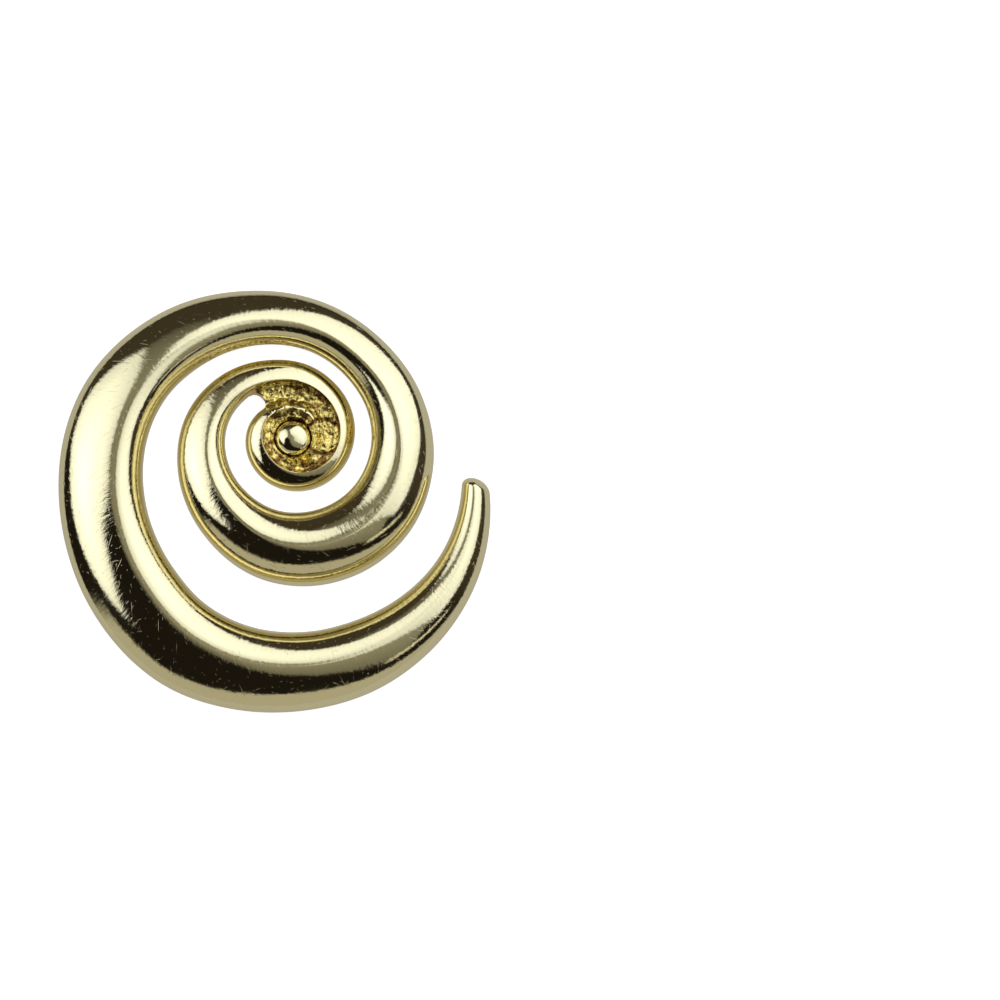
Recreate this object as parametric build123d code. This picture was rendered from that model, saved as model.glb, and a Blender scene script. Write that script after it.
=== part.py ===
"""A cast brass spiral ear hanger, 45 mm across, lying on its flat back.

One rounded arm starts at a blunt tip, swells to its widest on the left, winds
inwards clockwise for three and a third turns and thins to a ring round a bead.
The gap between its last turns is closed by a thin cast web, and the bead, a
low dome, sits on that web, held by a short shank.

Frame, in millimetres: the origin is on the flat back, on the bead's axis. +Z
is up, out of the domed front. The tip points along +Y, on the +X side.
"""

from build123d import *
from collections import namedtuple
from math import cos, degrees, radians, sin, sqrt
import os

# The arm
COIL_REACH = 29.0  # from the bead's axis to the outermost edge
ARM_WIDTH = 9.75  # where it is widest
ARM_HEIGHT = 5.1  # where it is tallest
INNER_WAIST = 0.43  # height of a section's widest level on its inner side, as a share of its height
KEEL_SHARE = 0.2  # how far a section reaches below the back before it is cut flat, same share
TIP_ANGLE = 348.5  # where the tip is, anticlockwise from +X
TIP_ROUNDING = 1.3  # length of the tip's rounded end

# The web between the last turns, and the open gap that ends at it
WEB_THICKNESS = 1.3
WEB_REACH = 0.25  # how far past the arm's middle line its hidden rim runs, as a share of the half width
GAP_END_RADIUS = 0.75
GAP_END_TURN = 574.0  # turn of the arm just outside the end of the gap

# The bead, its shank and the socket in the web
BEAD_WIDTH = 3.6  # where it meets the web
BEAD_HEIGHT = 0.8  # over the web
SHANK_DIAMETER = 1.4
SHANK_LENGTH = 0.8
SHANK_CLEARANCE = 0.03  # all round and at the socket's end

# How the arm is drawn. Each side of a section is a curve with two handles: rise
# keeps it upright at the waist and run keeps it level at the crest or the keel.
# Both are shares of the curve's own height and width.
Handles = namedtuple("Handles", "rise run")
OUTER_DOME = Handles(rise=0.475, run=0.193)  # an upright wall, then a flat slope up to the crest
INNER_DOME = Handles(rise=0.276, run=0.539)  # rounder, with a low wall
UNDERSIDE = Handles(rise=0.5523, run=0.5523)  # a quarter of an ellipse
SECTION_STEP = 15.0  # degrees between the lofted sections
TIP_STATIONS = (0.01, 0.06, 0.2, 0.45, 0.75, 1.0)  # sections on the tip, as shares of its rounding

# The arm, section by section from the tip inwards. turn is in degrees from the
# tip, clockwise. middle is the radius of the arm's middle line, as a share of
# COIL_REACH, and width and height are shares of ARM_WIDTH and ARM_HEIGHT. lean
# is how far the crest lies inwards of the middle line, as a share of the half
# width. waist is the height of the section's widest level on its outer side, as
# a share of its height.
Section = namedtuple("Section", "turn middle width height lean waist")
SECTIONS = [
    Section(0, 0.674, 0.295, 0.46, 0.10, 0.32),
    Section(15, 0.726, 0.402, 0.57, 0.06, 0.32),
    Section(30, 0.772, 0.524, 0.70, 0.03, 0.32),
    Section(45, 0.806, 0.660, 0.83, 0.03, 0.32),
    Section(60, 0.831, 0.779, 0.93, 0.05, 0.32),
    Section(75, 0.847, 0.837, 0.98, 0.08, 0.32),
    Section(90, 0.854, 0.899, 1.00, 0.12, 0.32),
    Section(105, 0.844, 0.972, 1.00, 0.19, 0.32),
    Section(120, 0.806, 1.000, 1.00, 0.25, 0.32),
    Section(150, 0.720, 0.938, 1.00, 0.35, 0.32),
    Section(180, 0.637, 0.878, 0.98, 0.38, 0.32),
    Section(210, 0.539, 0.766, 0.91, 0.32, 0.32),
    Section(240, 0.462, 0.633, 0.80, 0.23, 0.32),
    Section(270, 0.417, 0.574, 0.76, 0.23, 0.32),
    Section(300, 0.390, 0.576, 0.77, 0.21, 0.32),
    Section(330, 0.389, 0.621, 0.82, 0.12, 0.32),
    Section(360, 0.400, 0.707, 0.92, 0.01, 0.30),
    Section(390, 0.413, 0.783, 0.96, -0.03, 0.26),
    Section(420, 0.412, 0.804, 0.95, -0.03, 0.25),
    Section(450, 0.399, 0.761, 0.91, 0.04, 0.29),
    Section(480, 0.368, 0.655, 0.82, 0.16, 0.37),
    Section(510, 0.341, 0.553, 0.73, 0.27, 0.43),
    Section(540, 0.315, 0.464, 0.65, 0.38, 0.46),
    Section(570, 0.282, 0.373, 0.57, 0.50, 0.47),
    Section(600, 0.254, 0.283, 0.51, 0.62, 0.48),
    Section(630, 0.236, 0.236, 0.47, 0.72, 0.48),
    Section(660, 0.218, 0.201, 0.45, 0.78, 0.48),
    Section(720, 0.190, 0.167, 0.43, 0.82, 0.48),
    Section(780, 0.164, 0.195, 0.42, 0.82, 0.48),
    Section(840, 0.144, 0.221, 0.42, 0.82, 0.48),
    Section(900, 0.137, 0.183, 0.42, 0.82, 0.48),
    Section(930, 0.132, 0.139, 0.41, 0.82, 0.48),
    Section(960, 0.122, 0.105, 0.41, 0.80, 0.48),
    Section(1020, 0.111, 0.099, 0.39, 0.75, 0.48),
    Section(1080, 0.100, 0.100, 0.37, 0.70, 0.48),
    Section(1140, 0.087, 0.064, 0.32, 0.60, 0.48),
    Section(1200, 0.081, 0.043, 0.24, 0.50, 0.48),
]
LAST_TURN = SECTIONS[-1].turn


def smooth(column, turn):
    """The named column of SECTIONS at any turn, on a smooth curve through its rows."""
    rows = [(row.turn, getattr(row, column)) for row in SECTIONS]

    def slope(i):
        low, high = rows[max(i - 1, 0)], rows[min(i + 1, len(rows) - 1)]
        return (high[1] - low[1]) / (high[0] - low[0])

    i = max(k for k in range(len(rows) - 1) if k == 0 or rows[k][0] <= turn)
    (start, before), (end, after) = rows[i], rows[i + 1]
    span = end - start
    u = (turn - start) / span
    return (
        before * (1 + 2 * u) * (1 - u) ** 2
        + after * (3 - 2 * u) * u**2
        + slope(i) * span * u * (1 - u) ** 2
        - slope(i + 1) * span * (1 - u) * u**2
    )


def middle_radius(turn):
    return COIL_REACH * smooth("middle", turn)


def arm_size(turn):
    """The arm's half width and height at one turn, with the tip rounded off."""
    from_tip = min(middle_radius(turn) * radians(turn) / TIP_ROUNDING, 1.0)
    rounded = sqrt(1 - (1 - from_tip) ** 2)
    return ARM_WIDTH * smooth("width", turn) / 2 * rounded, ARM_HEIGHT * smooth("height", turn) * rounded


def at_turn(turn, radius, height=0.0):
    """The point on the given turn of the coil, at a radius and a height."""
    angle = radians(TIP_ANGLE - turn)
    return Vector(radius * cos(angle), radius * sin(angle), height)


def side_curve(turn, waist, pole, handles):
    """One side of a section, from its waist (radius, height) to the crest or the keel."""
    points = [
        waist,
        (waist[0], waist[1] + handles.rise * (pole[1] - waist[1])),
        (pole[0] + handles.run * (waist[0] - pole[0]), pole[1]),
        pole,
    ]
    return Bezier(*[at_turn(turn, radius, height) for radius, height in points])


def arm_section(turn):
    """The arm's section at one turn, in the plane through the bead's axis."""
    middle = middle_radius(turn)
    half_width, height = arm_size(turn)
    outer = (middle + half_width, smooth("waist", turn) * height)
    inner = (middle - half_width, INNER_WAIST * height)
    crest = (middle - smooth("lean", turn) * half_width, height)
    keel = (middle, -KEEL_SHARE * height)
    return Wire([
        side_curve(turn, outer, crest, OUTER_DOME),
        side_curve(turn, inner, crest, INNER_DOME),
        side_curve(turn, outer, keel, UNDERSIDE),
        side_curve(turn, inner, keel, UNDERSIDE),
    ])


def arm_turns():
    """The turns at which the arm is drawn: close together on the tip, then even."""
    tip_turn = degrees(TIP_ROUNDING / middle_radius(0))
    near_tip = [tip_turn * share for share in TIP_STATIONS]
    first_even = int(tip_turn / SECTION_STEP) + 1
    return near_tip + [SECTION_STEP * k for k in range(first_even, int(LAST_TURN / SECTION_STEP) + 1)]


def make_web():
    """The cast web: its rim runs inside the arm for one turn, and the gap's end is cut from it."""
    rim_turns = [GAP_END_TURN + SECTION_STEP * k for k in range(int(360 / SECTION_STEP) + 1)]
    rim = Spline(*[
        at_turn(turn, middle_radius(turn) + WEB_REACH * arm_size(turn)[0]) for turn in rim_turns
    ])
    outline = Face(Wire([rim, Line(rim @ 1, rim @ 0)]))
    gap_middle = (
        middle_radius(GAP_END_TURN) - arm_size(GAP_END_TURN)[0]
        + middle_radius(GAP_END_TURN + 360) + arm_size(GAP_END_TURN + 360)[0]
    ) / 2
    gap_end = Pos(*at_turn(GAP_END_TURN, gap_middle)) * Circle(GAP_END_RADIUS)
    return extrude(outline - gap_end, amount=WEB_THICKNESS, both=True)


def make_spiral():
    """Arm and web as one casting, cut flat at the back and socketed for the bead."""
    arm = Solid.make_loft([arm_section(turn) for turn in arm_turns()])
    below_back = Pos(0, 0, -ARM_HEIGHT) * Box(3 * COIL_REACH, 3 * COIL_REACH, 2 * ARM_HEIGHT)
    socket_depth = SHANK_LENGTH + SHANK_CLEARANCE
    socket = Pos(0, 0, WEB_THICKNESS - socket_depth / 2) * Cylinder(
        SHANK_DIAMETER / 2 + SHANK_CLEARANCE, socket_depth
    )
    return arm + make_web() - below_back - socket


def make_bead():
    """The bead, the top of a larger ball that meets the web, with its shank."""
    radius = ((BEAD_WIDTH / 2) ** 2 + BEAD_HEIGHT**2) / (2 * BEAD_HEIGHT)
    ball = Pos(0, 0, WEB_THICKNESS + BEAD_HEIGHT - radius) * Sphere(radius)
    above_web = Pos(0, 0, WEB_THICKNESS + radius) * Box(2 * radius, 2 * radius, 2 * radius)
    shank = Pos(0, 0, WEB_THICKNESS - SHANK_LENGTH / 2) * Cylinder(SHANK_DIAMETER / 2, SHANK_LENGTH)
    return (ball & above_web) + shank


def main():
    os.makedirs("parts", exist_ok=True)
    export_step(make_spiral(), "parts/cast_spiral.step")
    export_step(make_bead(), "parts/centre_bead.step")


main()
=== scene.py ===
# %% [markdown]
# A spiral ear hanger, cast in brass and plated in pale gold. It lies on its
# flat back on a white table, as it does in the photograph.
#
# The lesson makes it in the order that a workshop would: the arm is drawn and
# swept, the web is cast between its last turns, the bead is turned, and then
# everything is plated, scratched a little and lit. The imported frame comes
# first, because it says how large each piece is and where it lies.

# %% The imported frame
import bpy
from math import asin, cos, degrees, pi, radians, sin, sqrt
from mathutils import Matrix, Vector


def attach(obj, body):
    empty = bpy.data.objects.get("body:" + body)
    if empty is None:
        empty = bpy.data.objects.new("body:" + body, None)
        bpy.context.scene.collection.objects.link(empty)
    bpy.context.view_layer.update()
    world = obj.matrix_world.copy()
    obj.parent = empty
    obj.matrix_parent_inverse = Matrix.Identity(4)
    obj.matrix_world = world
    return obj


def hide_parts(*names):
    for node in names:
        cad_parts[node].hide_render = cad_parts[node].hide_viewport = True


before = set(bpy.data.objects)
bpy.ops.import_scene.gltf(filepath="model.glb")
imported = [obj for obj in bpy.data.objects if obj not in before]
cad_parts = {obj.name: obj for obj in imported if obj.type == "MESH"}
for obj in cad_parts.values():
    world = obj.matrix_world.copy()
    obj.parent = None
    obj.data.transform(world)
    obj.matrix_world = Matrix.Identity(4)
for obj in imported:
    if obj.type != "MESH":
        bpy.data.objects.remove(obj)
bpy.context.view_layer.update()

# %% [markdown]
# The arm is one rounded bar that winds inwards. It isn't a formula spiral: it
# was modelled by eye, so it is kept as a table of sections. Each row gives the
# turn from the tip, clockwise, the radius of the arm's middle line, and its
# width and height. They are shares of three sizes, so that the whole arm can
# be made wider or thicker by changing one number. lean says how far the crest
# lies inwards of the middle line, as a share of the half width: on the widest
# part of the arm the maker let it wander well inwards. waist says how high the
# section is widest on its outer side, as a share of its height.

# %% The arm's sizes and its table of sections
MM = 0.001
COIL_REACH = 29.0 * MM
ARM_WIDTH = 9.75 * MM
ARM_HEIGHT = 5.1 * MM
TIP_ANGLE = 348.5  # where the tip is, anticlockwise from +X
TIP_ROUNDING = 1.3 * MM

# turn, middle, width, height, lean, waist
SECTIONS = [
    (0, 0.674, 0.295, 0.46, 0.10, 0.32),
    (15, 0.726, 0.402, 0.57, 0.06, 0.32),
    (30, 0.772, 0.524, 0.70, 0.03, 0.32),
    (45, 0.806, 0.660, 0.83, 0.03, 0.32),
    (60, 0.831, 0.779, 0.93, 0.05, 0.32),
    (75, 0.847, 0.837, 0.98, 0.08, 0.32),
    (90, 0.854, 0.899, 1.00, 0.12, 0.32),
    (105, 0.844, 0.972, 1.00, 0.19, 0.32),
    (120, 0.806, 1.000, 1.00, 0.25, 0.32),
    (150, 0.720, 0.938, 1.00, 0.35, 0.32),
    (180, 0.637, 0.878, 0.98, 0.38, 0.32),
    (210, 0.539, 0.766, 0.91, 0.32, 0.32),
    (240, 0.462, 0.633, 0.80, 0.23, 0.32),
    (270, 0.417, 0.574, 0.76, 0.23, 0.32),
    (300, 0.390, 0.576, 0.77, 0.21, 0.32),
    (330, 0.389, 0.621, 0.82, 0.12, 0.32),
    (360, 0.400, 0.707, 0.92, 0.01, 0.30),
    (390, 0.413, 0.783, 0.96, -0.03, 0.26),
    (420, 0.412, 0.804, 0.95, -0.03, 0.25),
    (450, 0.399, 0.761, 0.91, 0.04, 0.29),
    (480, 0.368, 0.655, 0.82, 0.16, 0.38),
    (510, 0.341, 0.553, 0.73, 0.24, 0.44),
    (540, 0.315, 0.464, 0.65, 0.34, 0.47),
    (570, 0.282, 0.373, 0.57, 0.56, 0.48),
    (600, 0.254, 0.283, 0.51, 0.80, 0.46),
    (630, 0.236, 0.236, 0.47, 0.88, 0.43),
    (660, 0.218, 0.201, 0.45, 0.90, 0.38),
    (720, 0.190, 0.167, 0.43, 0.88, 0.30),
    (780, 0.164, 0.195, 0.42, 0.86, 0.30),
    (840, 0.144, 0.221, 0.42, 0.84, 0.34),
    (900, 0.137, 0.183, 0.42, 0.83, 0.44),
    (930, 0.132, 0.139, 0.41, 0.82, 0.48),
    (960, 0.122, 0.105, 0.41, 0.80, 0.48),
    (1020, 0.111, 0.099, 0.39, 0.75, 0.48),
    (1080, 0.100, 0.100, 0.37, 0.70, 0.48),
    (1140, 0.087, 0.064, 0.32, 0.60, 0.48),
    (1200, 0.081, 0.043, 0.24, 0.50, 0.48),
]
MIDDLE, WIDTH, HEIGHT, LEAN, WAIST = 1, 2, 3, 4, 5
LAST_TURN = SECTIONS[-1][0]


def smooth(column, turn):
    """One column of SECTIONS at any turn, on a smooth curve through its rows."""
    def slope(i):
        low, high = SECTIONS[max(i - 1, 0)], SECTIONS[min(i + 1, len(SECTIONS) - 1)]
        return (high[column] - low[column]) / (high[0] - low[0])

    i = max(k for k in range(len(SECTIONS) - 1) if k == 0 or SECTIONS[k][0] <= turn)
    start, end = SECTIONS[i][0], SECTIONS[i + 1][0]
    span = end - start
    u = (turn - start) / span
    return (
        SECTIONS[i][column] * (1 + 2 * u) * (1 - u) ** 2
        + SECTIONS[i + 1][column] * (3 - 2 * u) * u**2
        + slope(i) * span * u * (1 - u) ** 2
        - slope(i + 1) * span * (1 - u) * u**2
    )


def middle_radius(turn):
    return COIL_REACH * smooth(MIDDLE, turn)


def arm_size(turn):
    """The arm's half width and height at one turn, with the tip rounded off."""
    from_tip = min(middle_radius(turn) * radians(turn) / TIP_ROUNDING, 1.0)
    rounded = sqrt(1 - (1 - from_tip) ** 2)
    return ARM_WIDTH * smooth(WIDTH, turn) / 2 * rounded, ARM_HEIGHT * smooth(HEIGHT, turn) * rounded


def at_turn(turn, radius, height=0.0):
    angle = radians(TIP_ANGLE - turn)
    return Vector((radius * cos(angle), radius * sin(angle), height))


print("rows:", len(SECTIONS), " turns of the coil:", round(LAST_TURN / 360, 2))

# %% [markdown]
# Node trees are built in the script, so a few short helpers keep them
# readable. They add a node, set its options, and feed each input either a
# plain value or another node's output. They work the same in a geometry tree
# and in a shader tree.

# %% Helpers for node trees
def add(tree, kind, inputs=None, **options):
    """A new node, with its options set and its inputs fed."""
    node = tree.nodes.new(kind)
    node.location = (190 * (len(tree.nodes) % 12), -220 * (len(tree.nodes) // 12))
    for name, value in options.items():
        setattr(node, name, value)
    for name, value in (inputs or {}).items():
        if isinstance(value, bpy.types.NodeSocket):
            tree.links.new(value, node.inputs[name])
        else:
            node.inputs[name].default_value = value
    return node


def calc(tree, operation, *values):
    """A Math node's output."""
    return add(tree, "ShaderNodeMath", dict(enumerate(values)), operation=operation).outputs[0]


def vector_calc(tree, operation, *values):
    """A Vector Math node's vector output."""
    return add(tree, "ShaderNodeVectorMath", dict(enumerate(values)), operation=operation).outputs[0]


def scaled(tree, vector, factor):
    return add(tree, "ShaderNodeVectorMath", {0: vector, "Scale": factor}, operation="SCALE").outputs[0]


def ramp(tree, value, start, end, low=0.0, high=1.0):
    """A soft step: low below start, high above end. start may be the larger one."""
    return add(tree, "ShaderNodeMapRange", {
        "Value": value,
        "From Min": start,
        "From Max": end,
        "To Min": low,
        "To Max": high,
    }, interpolation_type="SMOOTHSTEP").outputs[0]


def noise(tree, place, scale, seed, detail=2.0, roughness=0.5):
    """A noise between 0 and 1, with scale in lumps for each unit of place."""
    return add(tree, "ShaderNodeTexNoise", {
        "Vector": place,
        "W": seed,
        "Scale": scale,
        "Detail": detail,
        "Roughness": roughness,
    }, noise_dimensions="4D").outputs[0]


def group_tree(name, kind, inputs, outputs):
    """An empty node group. inputs is [(label, socket type, default)], outputs is [(label, type)]."""
    tree = bpy.data.node_groups.new(name, kind)
    for label, socket_type, default in inputs:
        socket = tree.interface.new_socket(label, in_out="INPUT", socket_type="NodeSocket" + socket_type)
        if default is not None:
            socket.default_value = default
    for label, socket_type in outputs:
        tree.interface.new_socket(label, in_out="OUTPUT", socket_type="NodeSocket" + socket_type)
    return tree, tree.nodes.new("NodeGroupInput").outputs


def geometry_tree(name, inputs):
    return group_tree(
        name, "GeometryNodeTree", [("Geometry", "Geometry", None)] + inputs, [("Geometry", "Geometry")]
    )


def shader_group(name, inputs, outputs):
    return group_tree(
        name, "ShaderNodeTree", [("Place", "Vector", None)] + inputs + [("Seed", "Float", 0.0)],
        [(label, "Float") for label in outputs],
    )


# %% Helpers for geometry
MAX_SMOOTH_ANGLE = 50.0  # edges sharper than this stay crisp


def named(tree, name, kind="FLOAT"):
    """The value of a named attribute."""
    return add(tree, "GeometryNodeInputNamedAttribute", {"Name": name}, data_type=kind).outputs["Attribute"]


def keep_place(tree, geometry, label):
    """Captures where the points are now, and hands on both the points and their place."""
    node = add(tree, "GeometryNodeCaptureAttribute", {"Geometry": geometry}, domain="POINT")
    node.capture_items.new("VECTOR", label)
    tree.links.new(add(tree, "GeometryNodeInputPosition").outputs[0], node.inputs[label])
    return node.outputs["Geometry"], node.outputs[label]


def tell_the_finish(tree, geometry, place, skin, dull=0.0, grime=0.0):
    """Stores a place in millimetres and the shares of cast skin, of dull metal and of painted shade in hollows.
    """
    facts = [("skin", "FLOAT", skin), ("dull", "FLOAT", dull), ("grime", "FLOAT", grime)]
    for name, kind, value in [("place", "FLOAT_VECTOR", place)] + facts:
        geometry = add(tree, "GeometryNodeStoreNamedAttribute", {
            "Geometry": geometry,
            "Name": name,
            "Value": value,
        }, data_type=kind, domain="CORNER").outputs[0]
    return geometry


def in_millimetres(tree):
    position = add(tree, "GeometryNodeInputPosition").outputs[0]
    return scaled(tree, position, 1000.0)


def finish_tree(tree, geometry, material):
    """Ends a tree as every tree here ends: smooth with crisp edges, real, with its metal on."""
    smooth_faces = add(tree, "GeometryNodeSetShadeSmooth", {"Geometry": geometry}).outputs[0]
    edge_angle = add(tree, "GeometryNodeInputMeshEdgeAngle").outputs[0]
    crisp = add(tree, "GeometryNodeSetShadeSmooth", {
        "Geometry": smooth_faces,
        "Selection": calc(tree, "GREATER_THAN", edge_angle, radians(MAX_SMOOTH_ANGLE)),
        "Shade Smooth": False,
    }, domain="EDGE").outputs[0]
    real = add(tree, "GeometryNodeRealizeInstances", {"Geometry": crisp}).outputs[0]
    metal = add(tree, "GeometryNodeSetMaterial", {"Geometry": real, "Material": material}).outputs[0]
    add(tree, "NodeGroupOutput", {"Geometry": metal})


def grown(name, start_mesh, tree, **values):
    """A plain mesh object, grown from start_mesh by a tree whose inputs get the values."""
    seed = bpy.data.objects.new(name + "_seed", start_mesh)
    bpy.context.scene.collection.objects.link(seed)
    modifier = seed.modifiers.new(tree.name, "NODES")
    modifier.node_group = tree
    sockets = {s.name: s.identifier for s in tree.interface.items_tree if s.in_out == "INPUT"}
    for label, value in values.items():
        modifier[sockets[label.replace("_", " ")]] = value
    bpy.context.view_layer.update()
    mesh = bpy.data.meshes.new_from_object(seed.evaluated_get(bpy.context.evaluated_depsgraph_get()))
    bpy.data.objects.remove(seed)
    mesh.name = name
    piece = bpy.data.objects.new(name, mesh)
    bpy.context.scene.collection.objects.link(piece)
    print(name + ":", len(mesh.vertices), "vertices,", len(mesh.polygons), "faces")
    return piece


def chain_mesh(name, points, facts):
    """A chain of points with a value of each fact at each point."""
    mesh = bpy.data.meshes.new(name)
    mesh.from_pydata(points, [(k, k + 1) for k in range(len(points) - 1)], [])
    for fact, values in facts.items():
        kind = "FLOAT_VECTOR" if isinstance(values[0], Vector) else "FLOAT"
        mesh.attributes.new(fact, kind, "POINT")
    for fact, values in facts.items():
        for item, value in zip(mesh.attributes[fact].data, values):
            if isinstance(value, Vector):
                item.vector = value
            else:
                item.value = value
    return mesh


# %% [markdown]
# The surface of such a casting has a history, and the finish follows it. The
# metal leaves its mould with a grainy skin. The dome of the arm is then ground
# and buffed, which leaves faint marks across the arm, because it is held
# against a spinning wheel. The walls and the narrow places can't be reached,
# so they keep their skin. Plating covers all of it and hides none of it, and
# wear adds fine scratches and a few pits.
#
# Each of these is a node group, built once and used by both pieces of metal.
# Places are in millimetres, so each number is a size on the real thing.

# %% Marks in the metal, as node groups
def finish_group(tree, outputs):
    add(tree, "NodeGroupOutput", outputs)
    return tree


def wheel_marks():
    """Marks of the buffing wheel: narrow along the arm, long across it."""
    tree, given = shader_group("wheel_marks", [
        ("Spacing", "Float", 0.35),
        ("Reach", "Float", 1.4),
    ], ["Height"])
    along, across, up = add(tree, "ShaderNodeSeparateXYZ", {0: given["Place"]}).outputs
    squeezed = add(tree, "ShaderNodeCombineXYZ", {
        "X": calc(tree, "DIVIDE", along, given["Spacing"]),
        "Y": calc(tree, "DIVIDE", across, given["Reach"]),
        "Z": calc(tree, "DIVIDE", up, given["Reach"]),
    }).outputs[0]
    return finish_group(tree, {"Height": noise(tree, squeezed, 1.0, given["Seed"], 3.0, 0.6)})


def cell_place(tree, place, cell, seed):
    """Each point's offset from the middle of its random cell, and the cell's random colour."""
    shifted = vector_calc(tree, "ADD", place, add(tree, "ShaderNodeCombineXYZ", {
        "X": calc(tree, "MULTIPLY", seed, 7.3),
        "Y": calc(tree, "MULTIPLY", seed, 3.1),
    }).outputs[0])
    cells = add(tree, "ShaderNodeTexVoronoi", {
        "Vector": shifted,
        "Scale": calc(tree, "DIVIDE", 1.0, cell),
    }, voronoi_dimensions="3D", feature="F1")
    middle = scaled(tree, cells.outputs["Position"], 1.0)
    return vector_calc(tree, "SUBTRACT", shifted, middle), cells.outputs["Color"]


def scratches():
    """Short straight scratches: at most one in each random cell, each at its own angle."""
    tree, given = shader_group("scratches", [
        ("Cell", "Float", 2.0),
        ("Width", "Float", 0.03),
        ("Share", "Float", 0.5),
        ("Main angle", "Float", 0.0),
        ("Spread", "Float", 3.14),
    ], ["Mask"])
    offset, chance = cell_place(tree, given["Place"], given["Cell"], given["Seed"])
    red, green, blue = add(tree, "ShaderNodeSeparateColor", {0: chance}).outputs
    swing = calc(tree, "MULTIPLY", calc(tree, "SUBTRACT", red, 0.5), given["Spread"])
    turned = add(tree, "ShaderNodeVectorRotate", {
        "Vector": offset,
        "Angle": calc(tree, "ADD", swing, given["Main angle"]),
    }, rotation_type="Z_AXIS").outputs[0]
    lengthwise, sideways, _ = add(tree, "ShaderNodeSeparateXYZ", {0: turned}).outputs
    from_line = calc(tree, "ABSOLUTE", sideways)
    on_line = ramp(tree, from_line, given["Width"], 0.0)
    half_length = calc(tree, "MULTIPLY", given["Cell"], calc(tree, "MULTIPLY_ADD", green, 0.4, 0.12))
    in_length = ramp(tree, calc(tree, "ABSOLUTE", lengthwise), half_length, 0.0)
    there = calc(tree, "LESS_THAN", blue, given["Share"])
    mask = calc(tree, "MULTIPLY", calc(tree, "MULTIPLY", on_line, in_length), there)
    return finish_group(tree, {"Mask": mask})


def pits():
    """Small round pits, one in some of the random cells."""
    tree, given = shader_group("pits", [
        ("Cell", "Float", 1.5),
        ("Radius", "Float", 0.06),
        ("Share", "Float", 0.3),
    ], ["Mask"])
    offset, chance = cell_place(tree, given["Place"], given["Cell"], given["Seed"])
    red, green, _ = add(tree, "ShaderNodeSeparateColor", {0: chance}).outputs
    away = add(tree, "ShaderNodeVectorMath", {0: offset}, operation="LENGTH").outputs["Value"]
    radius = calc(tree, "MULTIPLY", given["Radius"], calc(tree, "ADD", green, 0.4))
    there = calc(tree, "LESS_THAN", red, given["Share"])
    return finish_group(tree, {"Mask": calc(tree, "MULTIPLY", ramp(tree, away, radius, 0.0), there)})


def cast_skin():
    """The grainy skin of a casting: the Height of its grains, and its tone: a random tone, with painted shade
    that darkens the grains' hollows.
    """
    tree, given = shader_group("cast_skin", [("Grain", "Float", 0.3)], ["Height", "Tone_and_shade"])
    fineness = calc(tree, "DIVIDE", 1.0, given["Grain"])
    lumps = noise(tree, given["Place"], fineness, given["Seed"], 4.0, 0.65)
    grains = add(tree, "ShaderNodeTexVoronoi", {
        "Vector": given["Place"],
        "Scale": calc(tree, "MULTIPLY", fineness, 1.6),
        "Randomness": 1.0,
    }, voronoi_dimensions="3D", feature="F1").outputs["Distance"]
    height = calc(tree, "SUBTRACT", lumps, calc(tree, "MULTIPLY", grains, 0.4))
    wide = noise(tree, given["Place"], calc(tree, "MULTIPLY", fineness, 0.22), given["Seed"], 2.0, 0.5)
    # Painted shade: the tone follows the grain height, so the grains' hollows are painted darker; the wide
    # noise adds a random tone
    tone_and_shade = ramp(tree, calc(tree, "ADD", height, calc(tree, "MULTIPLY", wide, 0.5)), 0.25, 0.65)
    return finish_group(tree, {"Height": height, "Tone_and_shade": tone_and_shade})


WHEEL_MARKS, SCRATCHES, PITS, CAST_SKIN = wheel_marks(), scratches(), pits(), cast_skin()
print("node groups:", [group.name for group in bpy.data.node_groups])

# %% [markdown]
# One recipe makes both metals. The polished part is a mirror that is a little
# soft, with the marks above as heights of a few thousandths of a millimetre.
# Where the skin attribute says so, the metal is grainy, duller and browner,
# and it stands a little higher, because no metal was ground off it. The
# border between the two is broken up, as a buffing wheel leaves it. The walls
# in the gap were only tumbled, so they are smooth but dull, and the hollows of
# the skin are painted darker, as painted shade.

# %% The gold plate
POLISHED = (0.86, 0.75, 0.40, 1)
SKIN_LIGHT = (0.97, 0.76, 0.20, 1)
# SKIN_DARK is also the colour of the painted shade in the hollows of the skin and of the web
SKIN_DARK = (0.16, 0.07, 0.015, 1)

# Heights and depths, in millimetres
MARK_HEIGHT = 0.022
GRIT_HEIGHT = 0.003
SCRATCH_DEPTH = 0.004
PIT_DEPTH = 0.03
SKIN_HEIGHT = 0.09
SKIN_STEP = 0.03  # by which the skin stands over the ground metal

# Roughness: the mirror's own, from clean to smudged, and what else adds to it
MIRROR = (0.04, 0.09)
DULL_WALL = 0.13
DULL_SCRATCH = 0.2
DULL_SKIN = 0.1
HOLLOW_SHADE_STRENGTH = 0.95  # how much of the light skin colour the painted shade in hollows takes away


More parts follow.
